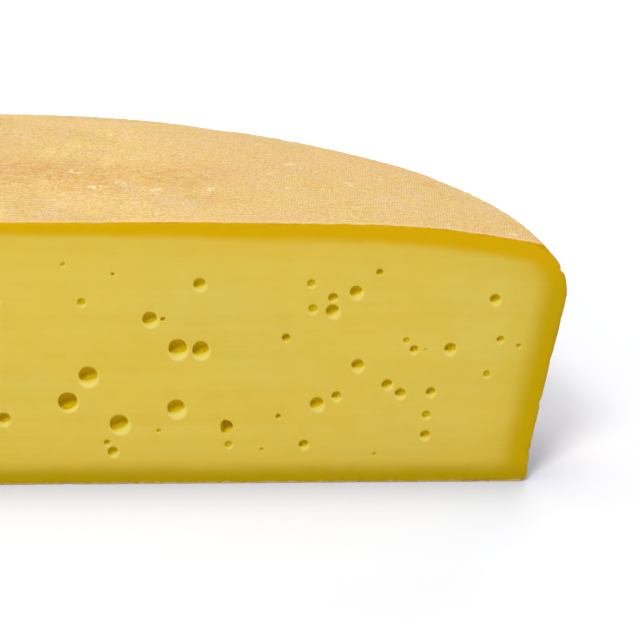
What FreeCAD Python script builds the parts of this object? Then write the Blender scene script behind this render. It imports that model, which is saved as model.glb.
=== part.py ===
import FreeCAD, Part
import math
import os
import random
import Sketcher

# Half wheel of a washed-rind mountain cheese, with round eyes in the cut face. Millimetres.
# +Z is up and the base is at Z = 0. The cut runs along X, through the axis of the wheel, and
# faces -Y. The origin is the middle of the bounding box, at the base.

# ---------------------------------------------------------------- driving dimensions

WHEEL_SIZES = {
    "wheel_radius": 160.0,      # widest part of the side
    "wheel_height": 78.0,       # flat middle of the top
    "side_taper": 7.0,          # how much narrower the foot is than the widest part
    "foot_round": 2.5,          # corner between base and side
    "side_hollow": 100.0,       # radius of the hollow just above the foot
    "shoulder_round": 16.0,     # corner between side and top
    "crown_radius": 300.0,      # gentle fall of the top towards the shoulder
    "crown_width": 65.0,        # width of the ring in which the top falls
}

# Depth of each kind of eye: how far the middle of its bubble lies behind the cut face, as a
# share of half the opening.
SINK = {"dish": -0.9, "bowl": 0.0, "deep": 0.45, "pit": 1.1}

# Eyes right of the wheel's axis: per cent of the way out to the rim, per cent of the way up,
# width of the opening, and kind. They lie in loose groups, the widest nearest the middle.
RIGHT_EYES = [
    # the widest ones and their neighbours
    (26.0, 64.0, 4.2, "deep"),
    (31.0, 53.0, 5.3, "deep"),
    (35.0, 52.5, 4.8, "deep"),
    (15.5, 42.5, 5.3, "deep"),
    (12.0, 32.5, 5.3, "pit"),
    (21.0, 24.0, 5.3, "deep"),
    (31.0, 30.0, 5.1, "bowl"),
    (34.5, 77.0, 3.6, "bowl"),
    (1.0, 26.0, 3.6, "deep"),
    (20.0, 13.0, 3.1, "bowl"),
    (19.0, 16.5, 2.0, "bowl"),
    # a group under the top, halfway out
    (58.0, 72.0, 3.1, "bowl"),
    (58.0, 67.5, 4.0, "bowl"),
    (54.5, 68.0, 2.8, "dish"),
    (62.0, 74.5, 3.7, "bowl"),
    (66.0, 82.0, 2.0, "dish"),
    (54.0, 77.5, 2.5, "dish"),
    # a slanting row towards the foot
    (63.0, 46.5, 3.7, "bowl"),
    (68.5, 39.0, 3.2, "bowl"),
    (71.0, 35.5, 3.2, "bowl"),
    (76.5, 36.0, 2.9, "bowl"),
    (76.0, 27.0, 2.6, "dish"),
    (76.0, 19.0, 2.9, "bowl"),
    (56.0, 31.5, 4.0, "bowl"),
    (59.5, 34.5, 2.9, "bowl"),
    (54.0, 15.5, 2.9, "bowl"),
    # small ones near the rind
    (73.0, 52.5, 2.6, "bowl"),
    (79.5, 53.0, 3.5, "bowl"),
    (87.0, 72.0, 3.2, "bowl"),
    (88.5, 56.5, 2.3, "bowl"),
    (86.5, 43.0, 2.3, "dish"),
    (71.5, 56.0, 2.0, "dish"),
    # single ones between the groups
    (50.0, 57.0, 2.5, "pit"),
    (40.0, 22.5, 3.4, "pit"),
    (40.5, 15.5, 2.3, "dish"),
    (14.5, 70.0, 2.5, "dish"),
]

LEFT_SEED = 141
LEFT_TURN = 94.0                # per cent of the height that an eye and its turned copy add up to
LEFT_SHIFT = (0.90, 1.02)       # least and most stretch of a place away from the axis
LEFT_SHAKE = 4.0                # most that a place moves up or down, per cent of the height
LEFT_WIDTH = (0.80, 1.15)       # least and most change of a width


def grow_left_eyes():
    """Eyes left of the axis: the right-hand pattern turned half round, each eye shaken."""
    chance = random.Random(LEFT_SEED)
    grown = []
    for across, up, width, kind in RIGHT_EYES:
        left_across = -across * chance.uniform(*LEFT_SHIFT)
        left_up = LEFT_TURN - up + chance.uniform(-LEFT_SHAKE, LEFT_SHAKE)
        left_width = width * chance.uniform(*LEFT_WIDTH)
        grown.append((left_across, left_up, left_width, kind))
    return grown


# ---------------------------------------------------------------- document and sheets

doc = FreeCAD.newDocument("half_wheel_document")


def make_sheet(name, cells):
    """Writes each value of cells into column B of a new sheet, with its name as alias."""
    sheet = doc.addObject("Spreadsheet::Sheet", name)
    for row, (alias, value) in enumerate(cells.items(), start=1):
        sheet.set(f"A{row}", alias)
        sheet.set(f"B{row}", str(value))
        sheet.setAlias(f"B{row}", alias)
    return sheet


def eye_cells(eyes):
    """Names the four values of each eye, such as eye_07_width."""
    cells = {}
    for number, (across, up, width, kind) in enumerate(eyes, start=1):
        cells[f"eye_{number:02d}_across"] = round(across, 2)
        cells[f"eye_{number:02d}_up"] = round(up, 2)
        cells[f"eye_{number:02d}_width"] = round(width, 2)
        cells[f"eye_{number:02d}_sink"] = SINK[kind]
    return cells


eyes = RIGHT_EYES + grow_left_eyes()
make_sheet("sizes", WHEEL_SIZES)
make_sheet("eye_sizes", eye_cells(eyes))
doc.recompute()


# ---------------------------------------------------------------- the wheel's half section

def section_layout(size):
    """Works out the centres and end angles of the section's arcs, to start the solver from."""
    foot_x = size["wheel_radius"] - size["side_taper"]
    hollow_x = foot_x + size["side_hollow"]
    shoulder_x = size["wheel_radius"] - size["shoulder_round"]
    crown_x = size["wheel_radius"] - size["crown_width"]
    crown_z = size["wheel_height"] - size["crown_radius"]

    # the shoulder's arc touches the crown's arc from inside
    apart = size["crown_radius"] - size["shoulder_round"]
    fall = math.asin((shoulder_x - crown_x) / apart)
    shoulder_z = crown_z + apart * math.cos(fall)

    # the straight flank touches the hollow's arc on one side and the shoulder's on the other
    across = hollow_x - shoulder_x
    down = shoulder_z - size["foot_round"]
    both = size["side_hollow"] + size["shoulder_round"]
    lean = math.asin(both / math.hypot(across, down)) + math.atan2(down, across) - math.pi / 2
    return foot_x, hollow_x, shoulder_x, shoulder_z, crown_x, crown_z, fall, lean


def draw_section(body, size):
    """Draws the half section: base, foot, hollow side, flank, shoulder, crown, top and axis."""
    foot_x, hollow_x, shoulder_x, shoulder_z, crown_x, crown_z, fall, lean = section_layout(size)
    quarter = math.pi / 2
    out_of_page = FreeCAD.Vector(0, 0, 1)

    def point(x, z):
        return FreeCAD.Vector(x, z, 0)

    def arc(x, z, radius, first, last):
        return Part.ArcOfCircle(Part.Circle(point(x, z), out_of_page, radius), first, last)

    sketch = body.newObject("Sketcher::SketchObject", "section")
    plane = [f for f in body.Origin.OriginFeatures if f.Role == "XZ_Plane"][0]
    sketch.AttachmentSupport = (plane, [""])
    sketch.MapMode = "FlatFace"

    foot = size["foot_round"]
    hollow = size["side_hollow"]
    shoulder = size["shoulder_round"]
    crown = size["crown_radius"]
    height = size["wheel_height"]
    flank_low = point(hollow_x - hollow * math.cos(lean), foot + hollow * math.sin(lean))
    flank_high = point(shoulder_x + shoulder * math.cos(lean),
                       shoulder_z - shoulder * math.sin(lean))

    base_line = sketch.addGeometry(Part.LineSegment(point(0, 0), point(foot_x - foot, 0)))
    foot_arc = sketch.addGeometry(arc(foot_x - foot, foot, foot, -quarter, 0))
    hollow_arc = sketch.addGeometry(arc(hollow_x, foot, hollow, math.pi - lean, math.pi))
    flank_line = sketch.addGeometry(Part.LineSegment(flank_low, flank_high))
    shoulder_arc = sketch.addGeometry(arc(shoulder_x, shoulder_z, shoulder, -lean, quarter - fall))
    crown_arc = sketch.addGeometry(arc(crown_x, crown_z, crown, quarter - fall, quarter))
    top_line = sketch.addGeometry(Part.LineSegment(point(crown_x, height), point(0, height)))
    axis_line = sketch.addGeometry(Part.LineSegment(point(0, height), point(0, 0)))

    start, end, centre = 1, 2, 3
    origin = (-1, 1)
    for rule in [
        ("Coincident", base_line, start, *origin),
        ("Coincident", axis_line, end, base_line, start),
        ("Coincident", top_line, end, axis_line, start),
        ("Tangent", base_line, end, foot_arc, start),
        ("Tangent", foot_arc, end, hollow_arc, end),
        ("Tangent", hollow_arc, start, flank_line, start),
        ("Tangent", flank_line, end, shoulder_arc, start),
        ("Tangent", shoulder_arc, end, crown_arc, start),
        ("Tangent", crown_arc, end, top_line, start),
        ("Horizontal", base_line),
        ("Horizontal", top_line),
        ("Vertical", axis_line),
        ("Horizontal", foot_arc, end, foot_arc, centre),
    ]:
        sketch.addConstraint(Sketcher.Constraint(*rule))

    for name, formula, rule in [
        ("foot_radius", "sizes.wheel_radius - sizes.side_taper",
         ("DistanceX", *origin, foot_arc, end, foot_x)),
        ("foot_corner", "sizes.foot_round", ("Radius", foot_arc, foot)),
        ("hollow_radius", "sizes.side_hollow", ("Radius", hollow_arc, hollow)),
        ("shoulder_corner", "sizes.shoulder_round", ("Radius", shoulder_arc, shoulder)),
        ("shoulder_reach", "sizes.wheel_radius - sizes.shoulder_round",
         ("DistanceX", *origin, shoulder_arc, centre, shoulder_x)),
        ("crown_curve", "sizes.crown_radius", ("Radius", crown_arc, crown)),
        ("crown_start", "sizes.wheel_radius - sizes.crown_width",
         ("DistanceX", *origin, crown_arc, centre, crown_x)),
        ("top_level", "sizes.wheel_height", ("DistanceY", *origin, top_line, end, height)),
    ]:
        sketch.addConstraint(Sketcher.Constraint(*rule))
        sketch.renameConstraint(sketch.ConstraintCount - 1, name)
        sketch.setExpression(f"Constraints.{name}", formula)
    return sketch


def make_wheel_body(size):
    """Turns the section through half a turn, so that the cheese lies behind the cut plane."""
    body = doc.addObject("PartDesign::Body", "wheel_body")
    sketch = draw_section(body, size)
    half_turn = body.newObject("PartDesign::Revolution", "half_turn")
    half_turn.Profile = sketch
    half_turn.ReferenceAxis = (sketch, ["V_Axis"])
    half_turn.Angle = 180.0
    doc.recompute()
    half_turn.Reversed = half_turn.Shape.CenterOfMass.y < 0
    return body


# ---------------------------------------------------------------- eyes

def make_bubble(number):
    """One gas bubble: a ball that the cut face slices, bound to its row of the eye sheet."""
    row = f"eye_sizes.eye_{number:02d}"
    bubble = doc.addObject("Part::Sphere", f"bubble_{number:02d}")
    bubble.setExpression("Radius", f"{row}_width / 2 * sqrt(1 + {row}_sink * {row}_sink)")
    bubble.setExpression("Placement.Base.x", f"sizes.wheel_radius * {row}_across / 100")
    bubble.setExpression("Placement.Base.y", f"{row}_width / 2 * {row}_sink")
    bubble.setExpression("Placement.Base.z", f"sizes.wheel_height * {row}_up / 100")
    return bubble


def make_half_wheel(body, eye_count):
    """The half wheel with every bubble cut out, moved so that the origin is in its middle."""
    bubbles = doc.addObject("Part::MultiFuse", "bubbles")
    bubbles.Shapes = [make_bubble(number) for number in range(1, eye_count + 1)]
    cheese = doc.addObject("Part::Cut", "half_wheel")
    cheese.Base = body
    cheese.Tool = bubbles
    cheese.Label = "half_wheel"
    cheese.setExpression("Placement.Base.y", "-sizes.wheel_radius / 2")
    return cheese


wheel_body = make_wheel_body(WHEEL_SIZES)
half_wheel = make_half_wheel(wheel_body, len(eyes))
doc.recompute()

# ---------------------------------------------------------------- checks and export

for item in doc.Objects:
    if "Invalid" in item.State or "Error" in item.State:
        raise RuntimeError(f"{item.Label} could not be built: {item.State}")
if half_wheel.Shape.isNull() or not half_wheel.Shape.isValid():
    raise RuntimeError(f"{half_wheel.Label} has no valid shape")

os.makedirs("parts", exist_ok=True)
half_wheel.Shape.exportStep(f"parts/{half_wheel.Label}.step")
litres = half_wheel.Shape.Volume / 1e6
print(f"{half_wheel.Label}: {len(half_wheel.Shape.Solids)} solid, {litres:.3f} litres, {len(eyes)} eyes")
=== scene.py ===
# %% [markdown]
# # Half a wheel of washed-rind mountain cheese
#
# A round cheese is pressed in cloth inside a hoop, salted, then washed and turned for months, so
# it gets a thin, dry, tan rind with the weave of the cloth still in it. A knife has cut this one
# flat through its middle. The cut shows a smooth yellow paste, a golden zone just under the rind
# and the round eyes that gas blew while the cheese ripened.
#
# The packed model is the frame: it gives the real size and the place of the cut. Lengths are in
# metres, and lists that read better in millimetres say so. The one imported node is replaced by
# a finer mesh of the same form.

# %% Load the frame and read its size
import bisect
import math
import random

import bpy
from mathutils import Matrix, Vector, kdtree, noise
from mathutils.geometry import delaunay_2d_cdt


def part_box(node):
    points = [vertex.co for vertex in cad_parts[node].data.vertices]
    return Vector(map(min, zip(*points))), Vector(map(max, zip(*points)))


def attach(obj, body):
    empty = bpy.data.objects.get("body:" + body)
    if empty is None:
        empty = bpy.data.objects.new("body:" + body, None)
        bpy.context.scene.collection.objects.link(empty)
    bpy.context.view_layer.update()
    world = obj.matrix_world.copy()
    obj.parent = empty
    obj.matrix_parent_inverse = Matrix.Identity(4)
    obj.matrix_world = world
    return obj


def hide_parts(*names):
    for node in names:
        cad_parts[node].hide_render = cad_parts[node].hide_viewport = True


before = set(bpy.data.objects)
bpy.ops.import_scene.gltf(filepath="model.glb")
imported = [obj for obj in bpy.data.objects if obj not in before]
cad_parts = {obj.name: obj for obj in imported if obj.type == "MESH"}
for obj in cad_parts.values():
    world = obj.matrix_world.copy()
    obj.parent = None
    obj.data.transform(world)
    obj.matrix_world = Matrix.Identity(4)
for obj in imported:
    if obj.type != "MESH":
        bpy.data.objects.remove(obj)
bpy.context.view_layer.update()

MM = 0.001
low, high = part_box("half_wheel")
cut_y = low.y
wheel_radius = high.x
wheel_height = high.z
print(f"wheel {2 * wheel_radius / MM:.0f} mm across, {wheel_height / MM:.0f} mm high")

# %% [markdown]
# ## Where the viewer stands
#
# The viewer looks slightly down on the right-hand half of the cut, from about half a metre. A
# camera could be aimed with a constraint, but three plain angles say more: how far it looks down,
# how far it turns to the right, and how far it is rolled. The long lens keeps the lines calm.

# %% Set up the camera
VIEW_DOWN = math.radians(18.49)
VIEW_RIGHT = math.radians(8.26)
VIEW_ROLL = math.radians(2.85)
VIEW_FROM = Vector((12.8 * MM, cut_y - 527.4 * MM, 227.9 * MM))
SENSOR_WIDTH = 36.0             # this and the lens in millimetres, as usual for cameras
LENS = 112.5
NEAREST = 0.01

viewer = bpy.data.objects.new("viewer", bpy.data.cameras.new("viewer"))
bpy.context.scene.collection.objects.link(viewer)
viewer.data.sensor_width = SENSOR_WIDTH
viewer.data.lens = LENS
viewer.data.clip_start = NEAREST
viewer.location = VIEW_FROM
turn = Matrix.Rotation(-VIEW_RIGHT, 4, "Z")
tip = Matrix.Rotation(math.pi / 2 - VIEW_DOWN, 4, "X")
roll = Matrix.Rotation(VIEW_ROLL, 4, "Z")
viewer.rotation_euler = (turn @ tip @ roll).to_euler()
bpy.context.scene.camera = viewer
print("camera height over the ground:", round(VIEW_FROM.z / MM), "mm")

# %% [markdown]
# ## The outline of the wheel
#
# From the middle of the top outwards the rind runs flat, falls a little, turns round the shoulder,
# leans in down the flank, hollows out above the foot and comes back under the cheese. A curve
# object could hold that line, but the rings of the rind need its point and its outward direction
# at any distance. So the line is made of straight and round pieces, each a length and a function.

# %% Straight and round pieces of outline
def straight(start, end):
    """A straight piece of outline: its length, and a function that gives point and normal."""
    run = (end[0] - start[0], end[1] - start[1])
    length = math.hypot(*run)
    normal = (-run[1] / length, run[0] / length)

    def at(way):
        share = way / length
        return (start[0] + run[0] * share, start[1] + run[1] * share), normal
    return length, at


def bend(centre, radius, first, last, hollow=False):
    """A round piece of outline, from one angle to another about a centre."""
    length = radius * abs(last - first)

    def at(way):
        angle = first + (last - first) * way / length
        out = (math.cos(angle), math.sin(angle))
        point = (centre[0] + radius * out[0], centre[1] + radius * out[1])
        return point, ((-out[0], -out[1]) if hollow else out)
    return length, at


print("a quarter bend of radius 1 is", round(bend((0.0, 0.0), 1.0, 0.0, math.pi / 2)[0], 3), "long")

# %% [markdown]
# Six sizes shape the wheel, on top of the two that the frame gives. Every arc touches its
# neighbours, so its centre and its end angles follow from them: the shoulder lies inside the arc
# of the crown, and the straight flank touches both the shoulder and the hollow above the foot.

# %% Put the outline together
SIDE_TAPER = 7.0 * MM
FOOT_ROUND = 2.5 * MM
SIDE_HOLLOW = 100.0 * MM
SHOULDER_ROUND = 16.0 * MM
CROWN_RADIUS = 300.0 * MM
CROWN_WIDTH = 65.0 * MM


def wheel_outline():
    """The pieces of the outline, from the middle of the top to the middle of the base."""
    quarter = math.pi / 2
    foot_x = wheel_radius - SIDE_TAPER
    hollow_x = foot_x + SIDE_HOLLOW
    shoulder_x = wheel_radius - SHOULDER_ROUND
    crown_x = wheel_radius - CROWN_WIDTH
    crown_z = wheel_height - CROWN_RADIUS
    apart = CROWN_RADIUS - SHOULDER_ROUND
    fall = math.asin((shoulder_x - crown_x) / apart)
    shoulder_z = crown_z + apart * math.cos(fall)
    across = hollow_x - shoulder_x
    down = shoulder_z - FOOT_ROUND
    both = SIDE_HOLLOW + SHOULDER_ROUND
    lean = math.asin(both / math.hypot(across, down)) + math.atan2(down, across) - quarter
    flank_high = (shoulder_x + SHOULDER_ROUND * math.cos(lean),
                  shoulder_z - SHOULDER_ROUND * math.sin(lean))
    flank_low = (hollow_x - SIDE_HOLLOW * math.cos(lean),
                 FOOT_ROUND + SIDE_HOLLOW * math.sin(lean))
    return [
        straight((0.0, wheel_height), (crown_x, wheel_height)),
        bend((crown_x, crown_z), CROWN_RADIUS, quarter, quarter - fall),
        bend((shoulder_x, shoulder_z), SHOULDER_ROUND, quarter - fall, -lean),
        straight(flank_high, flank_low),
        bend((hollow_x, FOOT_ROUND), SIDE_HOLLOW, math.pi - lean, math.pi, hollow=True),
        bend((foot_x - FOOT_ROUND, FOOT_ROUND), FOOT_ROUND, 0.0, -quarter),
        straight((foot_x - FOOT_ROUND, 0.0), (0.0, 0.0)),
    ]


outline = wheel_outline()
outline_length = sum(length for length, _ in outline)
base_begins = outline_length - outline[-1][0]


def outline_point(way):
    """Distance from the axis, height and outward normal, that far along the outline."""
    for length, at in outline:
        if way <= length:
            return at(way)
        way -= length
    return outline[-1][1](outline[-1][0])


print(f"outline {outline_length / MM:.0f} mm long, base from {base_begins / MM:.0f} mm on")

# %% [markdown]
# ## How uneven the rind is
#
# No wheel is a perfect turned shape: it sinks, gets pressed, handled and dried. Each trace of that
# is a height over the clean outline. The rind could be sculpted or displaced, but functions of the
# place give the same rind every time, and the edge of the cut can follow it exactly. Nearly all
# of them are built from two shapes: smooth noise, and a hump that fades like a bell.

# %% Waves and humps
def waves(place, size, seed):
    """Smooth noise of a given height and breadth."""
    height, breadth = size
    return height * noise.noise(place / breadth + Vector((seed, seed * 1.7, -seed)))


def bell(distance, size):
    """A smooth hump of a given height and breadth."""
    height, breadth = size
    return height * math.exp(-(distance / breadth) ** 2)


print(f"one breadth from its middle a hump has {bell(1.0, (100.0, 1.0)):.0f} % of its height")

# %% [markdown]
# Thumbs, shelves and other wheels press shallow dents into top and side. They are scattered by
# chance, with a fixed seed so that each run gives the same wheel.

# %% Scatter dents over top and side
DENTS = 26
DENT_AROUND = (0.08, 0.96)      # shares of the half turn and of the outline that dents lie in
DENT_ALONG = (0.25, 0.97)
DENT_DEPTH = (0.12, 0.40)       # least and most, in millimetres
DENT_BREADTH = (3.0, 8.0)


def scatter_dents():
    """Places, depths and breadths of the dents in the top and the side."""
    chance = random.Random(20)
    dents = []
    for _ in range(DENTS):
        angle = chance.uniform(*DENT_AROUND) * math.pi
        (reach, level), _ = outline_point(chance.uniform(*DENT_ALONG) * base_begins)
        place = Vector((reach * math.cos(angle), cut_y + reach * math.sin(angle), level))
        size = (chance.uniform(*DENT_DEPTH) * MM, chance.uniform(*DENT_BREADTH) * MM)
        dents.append((place, size))
    return dents


dents = scatter_dents()
print(len(dents), "dents, the deepest", round(max(size[0] for _, size in dents) / MM, 2), "mm")

# %% [markdown]
# The press cloth doesn't lie quite flat round the side. Where it folded, it left a thin ridge that
# runs down the side at a slant and wanders a little.

# %% Ridges left by folds of the cloth
FOLD = (0.42 * MM, 1.1 * MM)    # height and breadth of a ridge
FOLD_ANGLES = [23.0, 58.0, 71.0, 101.0, 127.0, 134.0, 158.0]     # degrees round the side
FOLD_SLANTS = (-0.22, 0.35)     # sideways for each length upwards, by turns
FOLD_SWAY = (2.5 * MM, 22.0 * MM)       # how far a ridge wanders, and over what height
SIDE_TOP = 0.9 * wheel_height   # what lies lower counts as side
SIDE_FADE = 8.0 * MM


def fold_height(angle, place):
    """The ridges that folds of the press cloth left down the side."""
    height = 0.0
    on_side = min(max((SIDE_TOP - place.z) / SIDE_FADE, 0.0), 1.0)
    for number, fold in enumerate(FOLD_ANGLES):
        around = (angle - math.radians(fold)) * wheel_radius
        slant = FOLD_SLANTS[number % 2] * (place.z - wheel_height / 2)
        sway = FOLD_SWAY[0] * noise.noise(Vector((number * 5.0, 0.0, place.z / FOLD_SWAY[1])))
        height += bell(around - slant - sway, FOLD) * (0.65 + 0.5 * noise.noise(place / (14 * MM)))
    return height * on_side


print(len(FOLD_ANGLES), "ridges down the side")

# %% [markdown]
# Now all heights are added up. The middle of the top sinks, the lid of the press leaves a rim at
# the shoulder and a seam under it, and the rind dries into wrinkles and fine grains that are rough
# in some places and worn smooth in others.

# %% Add up the heights of the rind
SETTLING = (0.45 * MM, 75.0 * MM)       # height and breadth of the broad waves
HAND_WAVES = (0.22 * MM, 21.0 * MM)
WRINKLES = (0.20 * MM, 3.6 * MM)
GRAINS = (0.17 * MM, 1.7 * MM)
MIDDLE_SINK = (0.5 * MM, 50.0 * MM)     # depth and breadth
RIM = (0.80 * MM, 2.2 * MM)             # height and breadth of the ridge left by the lid
RIM_REACH = wheel_radius - 8.4 * MM
RIM_LEVEL = wheel_height - 6.1 * MM
SEAM = (0.95 * MM, 0.85 * MM)           # depth and breadth of the groove under the rim
SEAM_HEIGHT = 65.1 * MM
BASE_FADE = 6.0 * MM
ROUGH_PATCHES = 30.0 * MM               # breadth of the places that are rough or worn smooth
ROUGH_SHIFT = Vector((9.0, 2.0, 5.0))
LEAST_ROUGH = 0.15
RIM_PATCHES = 35.0 * MM                 # over what length rim and seam get stronger and weaker


def rind_height(place, angle):
    """How far the rind stands out from the clean outline at a place; nothing under the base."""
    clear_of_base = min(max(place.z / BASE_FADE, 0.0), 1.0)
    reach = math.hypot(place.x, place.y - cut_y)
    height = waves(place, SETTLING, 3.1) + waves(place, HAND_WAVES, 7.7)
    if place.z > SIDE_TOP:
        height -= bell(reach, MIDDLE_SINK)
    rough = max(0.7 + 0.7 * noise.noise(place / ROUGH_PATCHES + ROUGH_SHIFT), LEAST_ROUGH)
    height += (waves(place, WRINKLES, 5.2) + waves(place, GRAINS, 1.3)) * rough
    uneven = 0.75 + 0.35 * noise.noise(place / RIM_PATCHES)
    height += bell(math.hypot(reach - RIM_REACH, place.z - RIM_LEVEL), RIM) * uneven
    height -= bell(place.z - SEAM_HEIGHT, SEAM) * uneven
    if place.z < SIDE_TOP:
        height += fold_height(angle, place)
    for middle, size in dents:
        if abs(place.x - middle.x) < 3 * size[1]:
            height -= bell((place - middle).length, size)
    return height * clear_of_base


on_top = Vector((0.0, cut_y + wheel_radius / 2, wheel_height))
print("rind height halfway out on the top:", round(rind_height(on_top, math.pi / 2) / MM, 2), "mm")

# %% [markdown]
# ## The rind, ring by ring
#
# A grid of equal columns would crowd into slivers at the middle of the top. Rings round the axis
# don't, if each gets as many points as its length asks for. They lie closer where the outline
# turns or is grooved, and far apart under the base, which is flat.

# %% Choose where the rings lie
SPACING = 1.25 * MM             # between points on top and side
FINE_GAP = 0.62 * MM            # between rings where the outline turns or is grooved
FINE_LEVELS = (0.76, 0.95)      # shares of the height
FOOT_LEVEL = 0.04
BASE_SPACING = 6.0 * MM
BASE_GAP = 1.6 * MM


def ring_gap(way):
    """How far the next ring lies along the outline."""
    if way >= base_begins:
        return BASE_GAP
    level = outline_point(way)[0][1] / wheel_height
    fine = FINE_LEVELS[0] < level < FINE_LEVELS[1] or level < FOOT_LEVEL
    return FINE_GAP if fine else SPACING


def ring_ways():
    """Distances along the outline at which the rings lie."""
    ways = [0.0]
    while outline_length - ways[-1] > 1.5 * BASE_GAP:
        ways.append(ways[-1] + ring_gap(ways[-1]))
    return ways + [outline_length]


ways = ring_ways()
print(len(ways), "rings,", sum(way < base_begins for way in ways), "of them on top and side")

# %% [markdown]
# Each ring is half a circle, pushed out by the height of the rind. Every second one is shifted by
# half a point, so that the triangles between them come out even. The rings stop a hair before the
# cut, which leaves room for the small worn edge.

# %% Lay the rings
WORN_EDGE = 0.16 * MM
LEAST_STEP = 0.3                # share of a step below which a point would crowd the ring's start
AXIS_REACH = 0.01 * MM          # a ring no wider than this is one point on the axis
points = []


def add_point(place):
    """Adds a point to the cheese and gives its number."""
    points.append(place)
    return len(points) - 1


def lay_ring(way, staggered):
    """One half ring of points at that distance along the outline, as (angle, number) pairs."""
    (reach, level), (out, up) = outline_point(way)
    spacing = SPACING if way <= base_begins else BASE_SPACING
    count = max(1, round(math.pi * reach / spacing))
    angles = [math.pi * (i + (0.5 if staggered else 0.0)) / count for i in range(count)]
    angles = [0.0] + [a for a in angles if a > LEAST_STEP * math.pi / count] + [math.pi]
    if reach < AXIS_REACH:
        angles = [0.0]
    ring = []
    for angle in angles:
        along, behind = math.cos(angle), math.sin(angle)
        place = Vector((reach * along, cut_y + reach * behind, level))
        height = rind_height(place, angle)
        place += height * Vector((out * along, out * behind, up))
        deep = place.y - cut_y
        place.y = cut_y + WORN_EDGE + deep * (1.0 - WORN_EDGE / wheel_radius)
        ring.append((angle, add_point(place)))
    return ring


rings = [lay_ring(way, staggered=number % 2) for number, way in enumerate(ways)]
print(len(points), "points, the longest ring has", max(len(ring) for ring in rings))

# %% [markdown]
# Neighbouring rings have different numbers of points, so they can't be joined by a grid of
# squares. They are zipped instead: a triangle at a time, always stepping on along the ring whose
# next point comes first.

# %% Zip the rings together
def zip_rings(inner, outer):
    """Triangles between two half rings, always stepping to the nearer next point."""
    faces = []
    i = j = 0
    while i < len(inner) - 1 or j < len(outer) - 1:
        inner_left = i < len(inner) - 1
        if j == len(outer) - 1 or (inner_left and inner[i + 1][0] < outer[j + 1][0]):
            faces.append((inner[i][1], outer[j][1], inner[i + 1][1]))
            i += 1
        else:
            faces.append((inner[i][1], outer[j][1], outer[j + 1][1]))
            j += 1
    return faces


rind_faces = []
for inner, outer in zip(rings, rings[1:]):
    rind_faces += zip_rings(inner, outer)
print(len(rind_faces), "faces in the rind")

# %% [markdown]
# ## The worn edge and the border of the cut
#
# Where the blade broke through the rind of the base, small chips are missing, and the edge of the
# side is nicked. Both lists are given one by one, since chance would put some where they look odd.

# %% Chips and nicks along the edge
CHIPS = [   # across in millimetres, width, height of the chips in the lower edge
    (19.0, 4.4, 0.55), (36.5, 2.0, 0.50), (58.0, 1.4, 0.30), (104.0, 3.0, 0.35), (139.0, 2.4, 0.40),
    (-31.0, 2.6, 0.45), (-66.0, 5.0, 0.60), (-71.5, 2.0, 0.35), (-118.0, 3.2, 0.50),
]
CRUMBLE = (0.16 * MM, 2.4 * MM)
NICKS = [   # side, height in millimetres, width and depth of the nicks where the sides are cut
    (1.0, 24.5, 2.2, 0.45), (1.0, 9.6, 1.7, 0.36), (1.0, 38.0, 3.4, 0.22), (1.0, 51.0, 2.0, 0.18),
    (-1.0, 15.0, 2.4, 0.40), (-1.0, 30.5, 1.6, 0.30), (-1.0, 46.0, 3.0, 0.25),
]
BELL_WIDTH = 0.42               # breadth of a bell that is about one width wide


def chip_height(place):
    """How far the lower edge is chipped away at a place."""
    height = 0.0
    for across, width, depth in CHIPS:
        height = max(height, bell(place.x - across * MM, (depth * MM, BELL_WIDTH * width * MM)))
    return height + max(0.0, waves(place, CRUMBLE, 4.4))


def nick_depth(place):
    """How far the edge of the side is nicked at a place."""
    depth = 0.0
    for side, level, width, deep in NICKS:
        if side * place.x > 0.0:
            depth = max(depth, bell(place.z - level * MM, (deep * MM, BELL_WIDTH * width * MM)))
    return depth


print(len(CHIPS), "chips and", len(NICKS), "nicks")

# %% [markdown]
# A knife leaves an edge that crumbles a little, so a narrow slanting strip joins rind and cut. The
# inner side of that strip is the border of the cut face. It is made from the ends of the rings,
# once for the right-hand side and once for the left. At a chip the border is raised and the strip
# gets wider, and at a nick it is pulled in.

# %% Join the ring ends to the border of the cut
WORN_UNEVEN = (0.8, 3.0 * MM)   # how much the worn edge varies, and over what length
CHIP_BACK = 1.3                 # how far a chip reaches back under the base, for its height
NICK_BACK = 0.8                 # the same for a nick, and how far it pulls in the rind's edge
NICK_IN = 0.6
SIDE_FROM = 0.9 * wheel_radius


def border_point(number, way):
    """The point of the cut's border that belongs to the end of a ring."""
    end = points[number]
    _, (out, up) = outline_point(way)
    side = 1.0 if end.x >= 0.0 else -1.0
    worn = WORN_EDGE * (1.0 + WORN_UNEVEN[0] * noise.noise(end / WORN_UNEVEN[1]))
    place = Vector((end.x - side * out * worn, cut_y, end.z - up * worn))
    if way > base_begins:
        chip = chip_height(place)
        place.z += chip
        points[number].y += CHIP_BACK * chip
    elif abs(end.x) > SIDE_FROM:
        nick = nick_depth(place)
        place.x -= side * nick
        points[number].x -= side * NICK_IN * nick
        points[number].y += NICK_BACK * nick
    return place


right_ends = [ring[0][1] for ring in rings]
left_ends = [ring[-1][1] for ring in rings]
right_border = [add_point(border_point(n, w)) for n, w in zip(right_ends, ways)]
left_border = [right_border[0]]
left_border += [add_point(border_point(n, w)) for n, w in zip(left_ends[1:-1], ways[1:-1])]
left_border += [right_border[-1]]

for k in range(len(ways) - 1):
    strips = [(right_ends[k], right_border[k], right_border[k + 1], right_ends[k + 1]),
              (left_ends[k + 1], left_border[k + 1], left_border[k], left_ends[k])]
    for strip in strips:
        corners = list(dict.fromkeys(strip))
        rind_faces.append(tuple(corners))
border = right_border + left_border[-2:0:-1]
border.reverse()
print(len(border), "points round the cut")
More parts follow.
